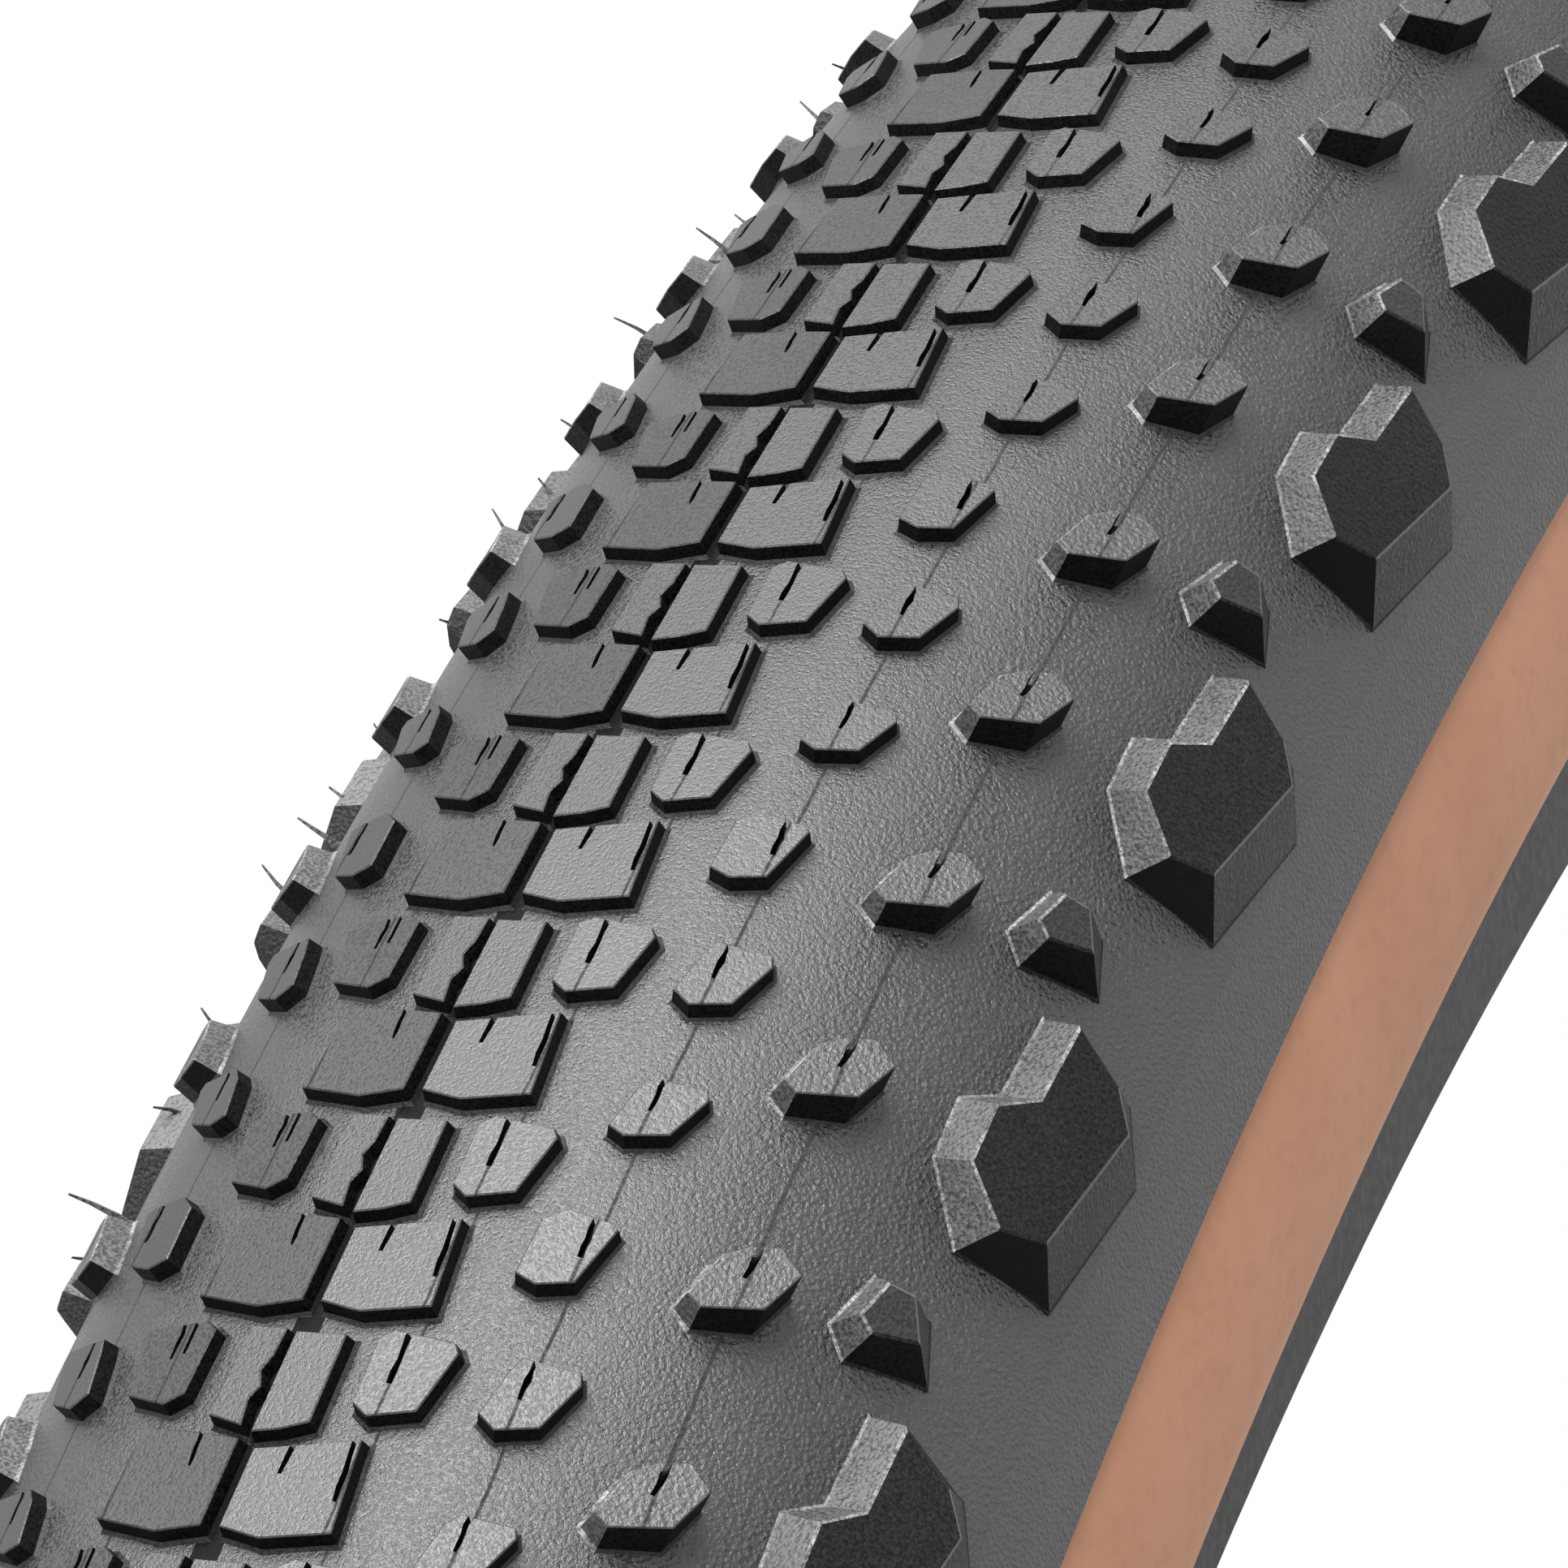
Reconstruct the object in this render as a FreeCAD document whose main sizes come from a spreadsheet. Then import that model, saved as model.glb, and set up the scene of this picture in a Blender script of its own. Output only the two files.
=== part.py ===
import FreeCAD, Part
import Sketcher
import os

# A knobbed bicycle tyre of the 622 mm bead seat size, in millimetres.
# Frame: the origin is the wheel's centre, the axle lies along +Y and the wheel stands in the XZ plane.
# Right is the +Y side. Every right-hand piece has a mirror image on the left.

doc = FreeCAD.newDocument("bicycle_tyre")
sheet = doc.addObject("Spreadsheet::Sheet", "dims")

DIMENSIONS = [
    # The bead, which holds the tyre on its seat.
    ("bead_seat_radius", 311.0, "radius of the bead seat"),
    ("bead_face", 12.5, "from the middle plane to the outer face of a bead"),
    ("bead_width", 5.0, "width of a bead across the seat"),
    ("bead_height", 5.0, "from the seat to the inner shoulder of a bead"),
    ("core_size", 2.4, "side of the square bead core"),
    ("core_cover", 1.2, "casing between the seat strip and the core"),
    ("strip_thickness", 0.5, "thickness of the seat strip"),
    ("strip_stop", 1.0, "from the top of the seat strip to the foot of the flank"),
    ("rim_edge_height", 7.5, "from the seat to where the flank leaves the bead face"),
    # The section, seen across the tyre: crown, shoulder and wall curves that run into each other.
    ("tyre_height", 53.35, "from the seat to the tread base at the crown"),
    ("crown_radius", 45.05, "radius of the tread base across the crown"),
    ("crown_angle", 7.0, "angle of the section where the shoulder curve begins"),
    ("shoulder_radius", 19.12, "radius of the tread base across the shoulder"),
    ("shoulder_angle", 54.37, "angle of the section where the wall curve begins"),
    ("wall_radius", 33.89, "radius of the tread base across the wall"),
    ("wall_angle", 96.0, "angle of the section where the side curve begins"),
    ("side_radius", 9.5, "radius of the casing's side curve, above the flank"),
    ("casing_thickness", 1.2, "thickness of the casing plies"),
    ("tread_thickness", 1.0, "thickness of the tread base"),
    ("tread_edge_angle", 81.0, "angle of the section where the tread base ends"),
    ("tread_taper_angle", 72.0, "angle of the section where the tread base starts to thin"),
    ("tread_edge_thickness", 0.4, "thickness of the tread base at its edge"),
    # The tread blocks. A position is measured from the middle plane along the tread.
    ("centre_count", 200, "pairs of centre blocks round the tyre"),
    ("centre_position", 2.7, "to the middle of a centre block"),
    ("centre_width", 4.9, "width of a centre block"),
    ("centre_length", 4.6, "length of a centre block along the tread"),
    ("centre_skew", 0.5, "how far the inner edge of a centre block lies ahead of the outer one"),
    ("centre_phase", 1.5, "turn of the first centre block from the top, in degrees"),
    ("centre_height", 0.85, "height of a centre block"),
    ("centre_draft", 4.0, "slope of a centre block's walls"),
    ("knob_count", 100, "large shoulder knobs on each side"),
    ("knob_position", 26.1, "to the middle of a shoulder knob"),
    ("knob_width", 6.2, "width of a shoulder knob"),
    ("knob_length", 11.4, "length of a shoulder knob along the tread"),
    ("knob_waist", 1.1, "from a shoulder knob's middle to the corners of its ends"),
    ("knob_nose_length", 3.4, "length of a shoulder knob's inner edge"),
    ("knob_nose_lead", 2.0, "from a shoulder knob's middle to the middle of its inner edge"),
    ("knob_peak_lag", 3.0, "from a shoulder knob's middle back to its outermost corner"),
    ("knob_phase", 2.3, "turn of the first shoulder knob from the top, in degrees"),
    ("knob_height", 2.0, "height of a shoulder knob"),
    ("knob_draft", 16.0, "slope of a shoulder knob's walls"),
    ("seat_reach", 8.0, "how far round the tyre a block's seat is cut, in degrees"),
]


def fill_sheet():
    for row, (alias, value, note) in enumerate(DIMENSIONS, start=1):
        sheet.set(f"A{row}", alias)
        sheet.set(f"B{row}", str(value))
        sheet.setAlias(f"B{row}", alias)
        sheet.set(f"C{row}", note)
    doc.recompute()


def next_centre(name, before, across, step):
    """Formulas of a curve's centre, which lies on the line that ends the curve before it."""
    return [(name + "_y", f"{across} + ({step}) * sin(dims.{before}_angle)"),
            (name + "_z", f"section.{before}_z + ({step}) * cos(dims.{before}_angle)")]


def add_derived():
    """Lengths and angles of the section that follow from the driving dimensions."""
    derived = doc.addObject("App::VarSet", "section")
    formulas = [
        ("rim_edge", "dims.bead_seat_radius + dims.rim_edge_height"),
        ("crown_z", "dims.bead_seat_radius + dims.tyre_height - dims.crown_radius"),
        *next_centre("shoulder", "crown", "0", "dims.crown_radius - dims.shoulder_radius"),
        *next_centre("wall", "shoulder", "section.shoulder_y",
                     "dims.shoulder_radius - dims.wall_radius"),
        *next_centre("side", "wall", "section.wall_y",
                     "dims.wall_radius - dims.tread_thickness - dims.side_radius"),
        ("shoulder_start", "dims.crown_radius * dims.crown_angle * pi / 180"),
        ("wall_start", "section.shoulder_start + dims.shoulder_radius"
                       " * (dims.shoulder_angle - dims.crown_angle) * pi / 180"),
        ("bead_face", "dims.bead_face - dims.strip_thickness"),
        ("flank_lean", "atan((section.bead_face - section.side_y)"
                       " / (section.rim_edge - section.side_z)) / 1 deg"),
        ("flank_reach", "sqrt(pow(section.bead_face - section.side_y; 2)"
                        " + pow(section.rim_edge - section.side_z; 2))"),
        ("flank_angle", "180 + section.flank_lean"
                        " - acos(dims.side_radius / section.flank_reach) / 1 deg"),
    ]
    for name, formula in formulas:
        derived.addProperty("App::PropertyFloat", name)
        derived.setExpression(name, formula)
        doc.recompute()
    return derived


def number(formula):
    """The present value of a formula of the sheet, for a sketch's first layout."""
    return float(sheet.evalExpression(formula))


def new_body(label):
    body = doc.addObject("PartDesign::Body", label)
    body.Label = label
    body.AllowCompound = True
    return body


def origin_plane(body, role):
    return next(f for f in body.Origin.OriginFeatures if f.Role == role)


def new_sketch(body, name, role):
    sketch = body.newObject("Sketcher::SketchObject", name)
    sketch.AttachmentSupport = [(origin_plane(body, role), "")]
    sketch.MapMode = "FlatFace"
    return sketch


def pin(sketch, edge, end, corner):
    """Tie one end of an edge to a corner, given as two formulas from the sketch's origin."""
    for kind, formula in zip(("DistanceX", "DistanceY"), corner):
        value = number(formula)
        if abs(value) < 1e-9 and formula == "0":
            axis = -2 if kind == "DistanceX" else -1
            sketch.addConstraint(Sketcher.Constraint("PointOnObject", edge, end, axis))
            continue
        index = sketch.addConstraint(Sketcher.Constraint(kind, -1, 1, edge, end, value))
        sketch.setExpression(f"Constraints[{index}]", formula)


def draw_outline(sketch, corners, arcs=None):
    """Draw a closed outline. arcs maps an edge's number to its centre and radius formulas."""
    arcs = arcs or {}
    points = [FreeCAD.Vector(number(x), number(y), 0) for x, y in corners]
    edges = []
    for number_of_edge, start in enumerate(points):
        end = points[(number_of_edge + 1) % len(points)]
        if number_of_edge not in arcs:
            edges.append(sketch.addGeometry(Part.LineSegment(start, end), False))
            continue
        centre, radius = arcs[number_of_edge]
        middle = FreeCAD.Vector(number(centre[0]), number(centre[1]), 0)
        reach = ((start + end) / 2 - middle).normalize() * number(radius)
        edges.append(sketch.addGeometry(Part.Arc(start, middle + reach, end), False))
    for position, edge in enumerate(edges):
        following = edges[(position + 1) % len(edges)]
        here = 2
        there = 1
        if position in arcs and is_reversed(sketch, edge, points[position]):
            here = 1
        if (position + 1) % len(edges) in arcs:
            if is_reversed(sketch, following, points[(position + 1) % len(edges)]):
                there = 2
        sketch.addConstraint(Sketcher.Constraint("Coincident", edge, here, following, there))
        pin(sketch, following, there, corners[(position + 1) % len(edges)])
        if position in arcs:
            radius = arcs[position][1]
            index = sketch.addConstraint(Sketcher.Constraint("Radius", edge, number(radius)))
            sketch.setExpression(f"Constraints[{index}]", radius)
    return edges


def is_reversed(sketch, edge, start):
    """True where the sketch keeps an arc's ends the other way round."""
    return (sketch.getPoint(edge, 1) - start).Length > (sketch.getPoint(edge, 2) - start).Length


def revolve(body, name, corners, arcs=None, holes=()):
    """Turn a section, drawn across and up from the axle, once round the axle."""
    sketch = new_sketch(body, name + "_section", "YZ_Plane")
    draw_outline(sketch, corners, arcs)
    for hole in holes:
        draw_outline(sketch, hole)
    ring = body.newObject("PartDesign::Revolution", name + "_ring")
    ring.Profile = sketch
    ring.ReferenceAxis = (sketch, ["H_Axis"])
    ring.Angle = 360
    return ring


def mirrored(corners):
    """The same corners on the left, in the other order."""
    return [(f"-({across})", up) for across, up in reversed(corners)]


def revolve_both_sides(body, name, corners, side_arcs, crown_arcs, holes=()):
    """Turn a section whose right half is given, from the outer crown to the inner one."""
    count = len(corners)
    arcs = dict(side_arcs)
    for edge, (centre, radius) in side_arcs.items():
        arcs[2 * count - 2 - edge] = ((f"-({centre[0]})", centre[1]), radius)
    arcs[2 * count - 1], arcs[count - 1] = crown_arcs
    both_holes = [outline for hole in holes for outline in (hole, mirrored(hole))]
    return revolve(body, name, corners + mirrored(corners), arcs, both_holes)


def left_copy(body, label):
    """The mirror image of a right-hand piece."""
    left = doc.addObject("Part::Mirroring", label)
    left.Label = label
    left.Source = body
    left.Normal = FreeCAD.Vector(0, 1, 0)
    return left


def on_circle(centre, radius, angle):
    """Formulas of the point of a circle that lies at an angle from the crown."""
    return (f"{centre[0]} + ({radius}) * sin({angle})",
            f"{centre[1]} + ({radius}) * cos({angle})")


CROWN = ("0", "section.crown_z")
SHOULDER = ("section.shoulder_y", "section.shoulder_z")
WALL = ("section.wall_y", "section.wall_z")
SIDE = ("section.side_y", "section.side_z")
BEAD_TOE = "section.bead_face - dims.bead_width + dims.strip_thickness"
CASING_SEAT = "dims.bead_seat_radius + dims.strip_thickness"
PLY_TOP = "dims.tread_thickness"
LINING = "dims.tread_thickness + dims.casing_thickness"


def on_crown(depth, angle):
    """The point of the crown curve at an angle, that deep below the tread base's outer face."""
    return on_circle(CROWN, f"dims.crown_radius - ({depth})", angle)


def on_wall(depth, angle):
    return on_circle(WALL, f"dims.wall_radius - ({depth})", angle)


def make_casing():
    """The plies, from bead to bead, with the bare flanks that show below the tread."""
    body = new_body("casing")
    flank_foot = ("section.bead_face - dims.casing_thickness * sin(section.flank_angle)",
                  "section.rim_edge - dims.casing_thickness * cos(section.flank_angle)")
    inner_side = "dims.side_radius - dims.casing_thickness"
    corners = [
        on_crown(PLY_TOP, "dims.crown_angle"),
        on_wall(PLY_TOP, "dims.shoulder_angle"),
        on_wall(PLY_TOP, "dims.wall_angle"),
        on_circle(SIDE, "dims.side_radius", "section.flank_angle"),
        ("section.bead_face", "section.rim_edge"),
        ("section.bead_face", CASING_SEAT),
        (BEAD_TOE, CASING_SEAT),
        (BEAD_TOE, "dims.bead_seat_radius + dims.bead_height"),
        flank_foot,
        on_circle(SIDE, inner_side, "section.flank_angle"),
        on_wall(LINING, "dims.wall_angle"),
        on_wall(LINING, "dims.shoulder_angle"),
        on_crown(LINING, "dims.crown_angle"),
    ]
    side_arcs = {
        0: (SHOULDER, f"dims.shoulder_radius - ({PLY_TOP})"),
        1: (WALL, f"dims.wall_radius - ({PLY_TOP})"),
        2: (SIDE, "dims.side_radius"),
        9: (SIDE, inner_side),
        10: (WALL, f"dims.wall_radius - ({LINING})"),
        11: (SHOULDER, f"dims.shoulder_radius - ({LINING})"),
    }
    crown_arcs = [(CROWN, f"dims.crown_radius - ({depth})") for depth in (PLY_TOP, LINING)]
    revolve_both_sides(body, "casing", corners, side_arcs, crown_arcs, [core_corners()])
    return body


def core_corners():
    """The bead core's square section, which the casing closes round."""
    middle = f"({BEAD_TOE} + section.bead_face) / 2"
    bottom = f"{CASING_SEAT} + dims.core_cover"
    return [
        (f"{middle} - dims.core_size / 2", bottom),
        (f"{middle} + dims.core_size / 2", bottom),
        (f"{middle} + dims.core_size / 2", f"{bottom} + dims.core_size"),
        (f"{middle} - dims.core_size / 2", f"{bottom} + dims.core_size"),
    ]


def make_bead_core():
    """The stiff hoop that keeps the bead on its seat."""
    body = new_body("bead_core_right")
    revolve(body, "bead_core", core_corners())
    return body


def make_seat_strip():
    """The black rubber strip that wraps the bead where it seats."""
    body = new_body("seat_strip_right")
    seat = "dims.bead_seat_radius"
    top = "section.rim_edge - dims.strip_stop"
    corners = [
        ("section.bead_face", top),
        ("dims.bead_face", top),
        ("dims.bead_face", seat),
        (BEAD_TOE, seat),
        (BEAD_TOE, CASING_SEAT),
        ("section.bead_face", CASING_SEAT),
    ]
    revolve(body, "seat_strip", corners)
    return body


def make_tread_base():
    """The tread rubber that carries the blocks, thin at its edge."""
    body = new_body("tread_base")
    edge_depth = "dims.tread_thickness - dims.tread_edge_thickness"
    corners = [
        on_crown("0", "dims.crown_angle"),
        on_wall("0", "dims.shoulder_angle"),
        on_wall("0", "dims.tread_taper_angle"),
        on_wall(edge_depth, "dims.tread_edge_angle"),
        on_wall(PLY_TOP, "dims.tread_edge_angle"),
        on_wall(PLY_TOP, "dims.shoulder_angle"),
        on_crown(PLY_TOP, "dims.crown_angle"),
    ]
    side_arcs = {
        0: (SHOULDER, "dims.shoulder_radius"),
        1: (WALL, "dims.wall_radius"),
        4: (WALL, f"dims.wall_radius - ({PLY_TOP})"),
        5: (SHOULDER, f"dims.shoulder_radius - ({PLY_TOP})"),
    }
    crown_arcs = [(CROWN, f"dims.crown_radius - ({depth})") for depth in ("0", PLY_TOP)]
    revolve_both_sides(body, "tread_base", corners, side_arcs, crown_arcs)
    return body


def centre_outline():
    """A centre block seen from outside: its inner edge lies a little ahead of its outer one."""
    half_length = "dims.centre_length / 2"
    half_width = "dims.centre_width / 2"
    half_skew = "dims.centre_skew / 2"
    return [
        (f"-{half_length} + {half_skew}", f"-{half_width}"),
        (f"{half_length} + {half_skew}", f"-{half_width}"),
        (f"{half_length} - {half_skew}", half_width),
        (f"-{half_length} - {half_skew}", half_width),
    ]


def knob_outline():
    """A shoulder knob seen from outside: a blunt nose inwards and one far corner outwards."""
    half_length = "dims.knob_length / 2"
    half_width = "dims.knob_width / 2"
    half_nose = "dims.knob_nose_length / 2"
    return [
        (f"-{half_length}", "-dims.knob_waist"),
        (f"dims.knob_nose_lead - {half_nose}", f"-{half_width}"),
        (f"dims.knob_nose_lead + {half_nose}", f"-{half_width}"),
        (half_length, "-dims.knob_waist"),
        (f"{half_length} - dims.knob_waist", "dims.knob_waist"),
        ("-dims.knob_peak_lag", half_width),
    ]


def make_block_row(label, row, outline_corners, centre, radius, angle):
    """One row of tread blocks on the right: a slab cut back to the tread base, then repeated."""
    body = new_body(label)
    outline = new_sketch(body, row + "_outline", "XY_Plane")
    lay_on_tread(outline, centre, f"({radius} + dims.{row}_height)", angle)
    draw_outline(outline, outline_corners)
    slab = body.newObject("PartDesign::Pad", row + "_slab")
    slab.Profile = outline
    slab.Reversed = True
    slab.setExpression("Length", f"2 * dims.{row}_height")
    slab.setExpression("TaperAngle", f"dims.{row}_draft")
    seat = new_sketch(body, row + "_seat", "YZ_Plane")
    draw_seat(seat, centre, radius, angle, row)
    doc.recompute()
    trimmed = body.newObject("PartDesign::Groove", row + "_trimmed")
    trimmed.Profile = seat
    trimmed.ReferenceAxis = (seat, ["H_Axis"])
    trimmed.Midplane = True
    trimmed.setExpression("Angle", "dims.seat_reach")
    doc.recompute()
    around = body.newObject("PartDesign::PolarPattern", row + "_around")
    around.Axis = (seat, ["H_Axis"])
    around.Angle = 360
    around.setExpression("Occurrences", f"dims.{row}_count")
    around.TransformMode = "Whole shape"
    body.Tip = around
    body.Placement = FreeCAD.Placement(FreeCAD.Vector(), FreeCAD.Rotation(FreeCAD.Vector(0, 1, 0), 1))
    body.setExpression(".Placement.Rotation.Angle", f"dims.{row}_phase")
    return body


def draw_seat(sketch, centre, radius, angle, row):
    """What a row's slab loses: all below the tread base, in two halves that meet mid-block."""
    half_turn = f"(dims.{row}_width / {radius} * 180 / pi)"
    below = f"{radius} - 2 * dims.{row}_height"
    low = f"{angle} - {half_turn}"
    high = f"{angle} + {half_turn}"
    corners = [
        on_circle(centre, radius, low),
        on_circle(centre, radius, angle),
        on_circle(centre, radius, high),
        on_circle(centre, below, high),
        on_circle(centre, below, low),
    ]
    draw_outline(sketch, corners, {0: (centre, radius), 1: (centre, radius)})


def lay_on_tread(sketch, centre, radius, angle):
    """Lay a sketch across the tops of a row of blocks, square to the section there."""
    sketch.AttachmentOffset = FreeCAD.Placement(
        FreeCAD.Vector(0, 0, 0), FreeCAD.Rotation(FreeCAD.Vector(1, 0, 0), -10))
    across, up = on_circle(centre, radius, angle)
    sketch.setExpression(".AttachmentOffset.Rotation.Angle", f"-({angle})")
    sketch.setExpression(".AttachmentOffset.Base.y", across)
    sketch.setExpression(".AttachmentOffset.Base.z", up)


def export(pieces):
    """Check every object and piece, then write one STEP file for each piece."""
    doc.recompute()
    for item in doc.Objects:
        if "Invalid" in item.State or "Error" in item.State:
            raise RuntimeError(f"{item.Label} did not compute: {item.State}")
    for piece in pieces:
        if piece.Shape.isNull() or not piece.Shape.isValid():
            raise RuntimeError(f"{piece.Label} has no valid shape")
    os.makedirs("parts", exist_ok=True)
    for piece in pieces:
        piece.Shape.exportStep(f"parts/{piece.Label}.step")
        print(piece.Label, len(piece.Shape.Solids), "solids", round(piece.Shape.Volume), "mm3")


fill_sheet()
add_derived()
right_core = make_bead_core()
right_strip = make_seat_strip()
pieces = [
    make_casing(),
    make_tread_base(),
    right_core,
    right_strip,
    left_copy(right_core, "bead_core_left"),
    left_copy(right_strip, "seat_strip_left"),
]
rows = [
    make_block_row("centre_blocks_right", "centre", centre_outline(), CROWN, "dims.crown_radius",
                   "dims.centre_position / dims.crown_radius * 180 / pi"),
    make_block_row("shoulder_knobs_right", "knob", knob_outline(), WALL, "dims.wall_radius",
                   "dims.shoulder_angle"
                   " + (dims.knob_position - section.wall_start) / dims.wall_radius * 180 / pi"),
]
for right_row in rows:
    pieces += [right_row, left_copy(right_row, right_row.Label.replace("right", "left"))]
export(pieces)
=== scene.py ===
import math
import random

import bmesh
import bpy
from mathutils import Matrix, Vector


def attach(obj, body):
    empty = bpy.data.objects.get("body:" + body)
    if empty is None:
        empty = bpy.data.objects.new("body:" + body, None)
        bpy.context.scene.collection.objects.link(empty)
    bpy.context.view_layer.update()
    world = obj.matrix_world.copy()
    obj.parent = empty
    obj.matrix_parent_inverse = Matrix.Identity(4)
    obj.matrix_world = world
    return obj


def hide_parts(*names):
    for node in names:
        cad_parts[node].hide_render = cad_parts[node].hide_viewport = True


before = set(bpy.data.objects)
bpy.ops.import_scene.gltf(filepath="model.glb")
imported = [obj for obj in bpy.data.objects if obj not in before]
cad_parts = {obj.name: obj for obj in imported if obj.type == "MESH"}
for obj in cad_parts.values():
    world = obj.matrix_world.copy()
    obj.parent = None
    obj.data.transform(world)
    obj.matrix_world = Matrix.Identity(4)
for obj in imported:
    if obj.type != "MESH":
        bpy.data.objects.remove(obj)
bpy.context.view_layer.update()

# ---------------------------------------------------------------- sizes
# Millimetres, in the tyre's own frame: the axle along Y, the tyre standing on Z.
MM = 0.001
TREAD_RADIUS = 364.35       # the bare crown, under the knobs
CURVES = (                  # the tread's round, from the crown out: radius, angle where it ends
    (45.05, 7.0),
    (19.12, 54.37),
    (33.89, 96.0),
)
WALL_END = CURVES[-1][1]
TREAD_THICKNESS = 1.0
CASING_THICKNESS = 1.2
UNITS = 100                 # the pattern repeats a hundred times round
PITCHES = 2 * UNITS         # one centre block and the gap after it
PITCH_ANGLE = 2 * math.pi / PITCHES
PATTERN_START = math.radians(46.8)       # where pitch 0 of the pattern lies
PITCH = TREAD_RADIUS * PITCH_ANGLE
RING_STEPS = 400
FLOOR_LEVEL = -366.0


def curve_centres():
    """Each curve of the section: its centre (across, radius), its radius and its two end angles."""
    centre = Vector((0.0, TREAD_RADIUS - CURVES[0][0]))
    start = 0.0
    found = []
    for place, (radius, end) in enumerate(CURVES):
        found.append((centre, radius, start, math.radians(end)))
        start = math.radians(end)
        if place + 1 < len(CURVES):
            step = radius - CURVES[place + 1][0]
            centre = centre + step * Vector((math.sin(start), math.cos(start)))
    return found


SECTION = curve_centres()


def at_angle(degrees, depth=0.0):
    """The section's point (across, radius) whose normal leans this far from straight out."""
    turn = math.radians(abs(degrees))
    centre, radius, _, _ = next(
        (curve for curve in SECTION if turn <= curve[3] + 1e-9), SECTION[-1])
    point = centre + (radius - depth) * Vector((math.sin(turn), math.cos(turn)))
    return (math.copysign(point.x, degrees), point.y)


def at_side(side, height=0.0):
    """The section's point (across, radius) this far round the tread from the crown."""
    left = abs(side)
    for centre, radius, start, end in SECTION:
        turn = start + left / radius
        if turn <= end:
            break
        left -= radius * (end - start)
    point = centre + (radius + height) * Vector((math.sin(turn), math.cos(turn)))
    return (math.copysign(point.x, side), point.y)


LEFT_SPREAD = 1.05          # the left rows lie a little further out
LEFT_SHIFT = 0.54
WIDEST = 24.4               # no knob stands further out than this


def to_left(side):
    """Where a place of the right half lies on the left one."""
    return -(side * LEFT_SPREAD + LEFT_SHIFT)


def on_tread(side, along, height):
    """A point on the tread: millimetres across from the crown, pitches along it, its height."""
    across, radius = at_side(side, height)
    across = max(-WIDEST, min(across, WIDEST))
    angle = along * PITCH_ANGLE
    return Vector((radius * math.sin(angle), across, radius * math.cos(angle))) * MM


# ---------------------------------------------------------------- shader writing
OBJECT_PLACE = 3            # the output of the texture coordinates that moves with the piece
MIX_SHARE, MIX_FIRST, MIX_SECOND, MIX_RESULT = 0, 6, 7, 2    # a Mix node's sockets for colours


class Value:
    """A shader socket that can be used in a Python expression."""

    def __init__(self, sheet, socket):
        self.sheet = sheet
        self.socket = socket

    def maths(self, operation, *others):
        return self.sheet.node("ShaderNodeMath", {"operation": operation}, self, *others)

    def __add__(self, other):
        return self.maths("ADD", other)

    def __sub__(self, other):
        return self.maths("SUBTRACT", other)

    def __mul__(self, other):
        return self.maths("MULTIPLY", other)

    def __abs__(self):
        return self.maths("ABSOLUTE")


class Sheet:
    """The node tree of one material."""

    def __init__(self, name):
        self.material = bpy.data.materials.new(name)
        self.material.use_nodes = True
        self.tree = self.material.node_tree
        self.tree.nodes.clear()

    def node(self, kind, settings=None, *inputs, out=0, **named):
        made = self.tree.nodes.new(kind)
        for name, value in (settings or {}).items():
            setattr(made, name, value)
        for socket, value in zip(made.inputs, inputs):
            self.feed(socket, value)
        for name, value in named.items():
            self.feed(made.inputs[name.replace("_", " ")], value)
        return Value(self, made.outputs[out])

    def feed(self, socket, value):
        if isinstance(value, Value):
            self.tree.links.new(value.socket, socket)
        elif value is not None:
            socket.default_value = value

    def place(self):
        return self.node("ShaderNodeTexCoord", {}, out=OBJECT_PLACE)

    def parts(self, vector):
        split = self.node("ShaderNodeSeparateXYZ", {}, vector)
        return [Value(self, output) for output in split.socket.node.outputs]

    def noise(self, vector, scale, detail=2.0, roughness=0.5):
        return self.node(
            "ShaderNodeTexNoise", {}, Vector=vector, Scale=scale, Detail=detail,
            Roughness=roughness,
        )

    def ramp(self, value, low, high, start=0.0, end=1.0):
        return self.node(
            "ShaderNodeMapRange", {"interpolation_type": "SMOOTHSTEP"},
            value, low, high, start, end,
        )

    def mix(self, share, first, second):
        made = self.tree.nodes.new("ShaderNodeMix")
        made.data_type = "RGBA"
        self.feed(made.inputs[MIX_SHARE], share)
        self.feed(made.inputs[MIX_FIRST], first)
        self.feed(made.inputs[MIX_SECOND], second)
        return Value(self, made.outputs[MIX_RESULT])

    def bump(self, height, distance, strength=1.0):
        return self.node(
            "ShaderNodeBump", {}, Height=height, Distance=distance, Strength=strength,
        )

    def finish(self, **looks):
        shader = self.node("ShaderNodeBsdfPrincipled", {}, **looks)
        output = self.tree.nodes.new("ShaderNodeOutputMaterial")
        self.tree.links.new(shader.socket, output.inputs["Surface"])
        return self.material


def colour(red, green, blue):
    return (red, green, blue, 1.0)


# ---------------------------------------------------------------- materials
# The mould's seams: millimetres across from the crown, and height above the bare tread.
BASE_LINES = tuple(
    (side, 0.0) for side in (-36.9, -17.9, -11.6, -5.8, 5.0, 10.45, 16.9, 36.9))
KNOB_LINES = (
    (-17.9, 1.7), (-11.6, 0.95), (-5.8, 0.85), (5.0, 0.85), (10.45, 0.95), (16.9, 1.7))
SEAM_REACH = (0.04, 0.11)   # from a seam's middle to where it starts and ends to fade
SEAM_WANDER = 0.2
SEAM_BLACK = 0.003
SEAM_SHARE = 0.95
SEAM_ROUGHNESS = 0.45       # added to the rubber's own
GRAIN_SCALE = 5500.0
GRAIN_RANGE = (0.35, 0.65)  # the part of the noise that counts
GRAIN_TONES = (0.35, 1.65)  # the rubber's tone is multiplied by these
GRAIN_ROUGHNESS = 0.16
GRAIN_DEPTH = 0.00007       # metres
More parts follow.
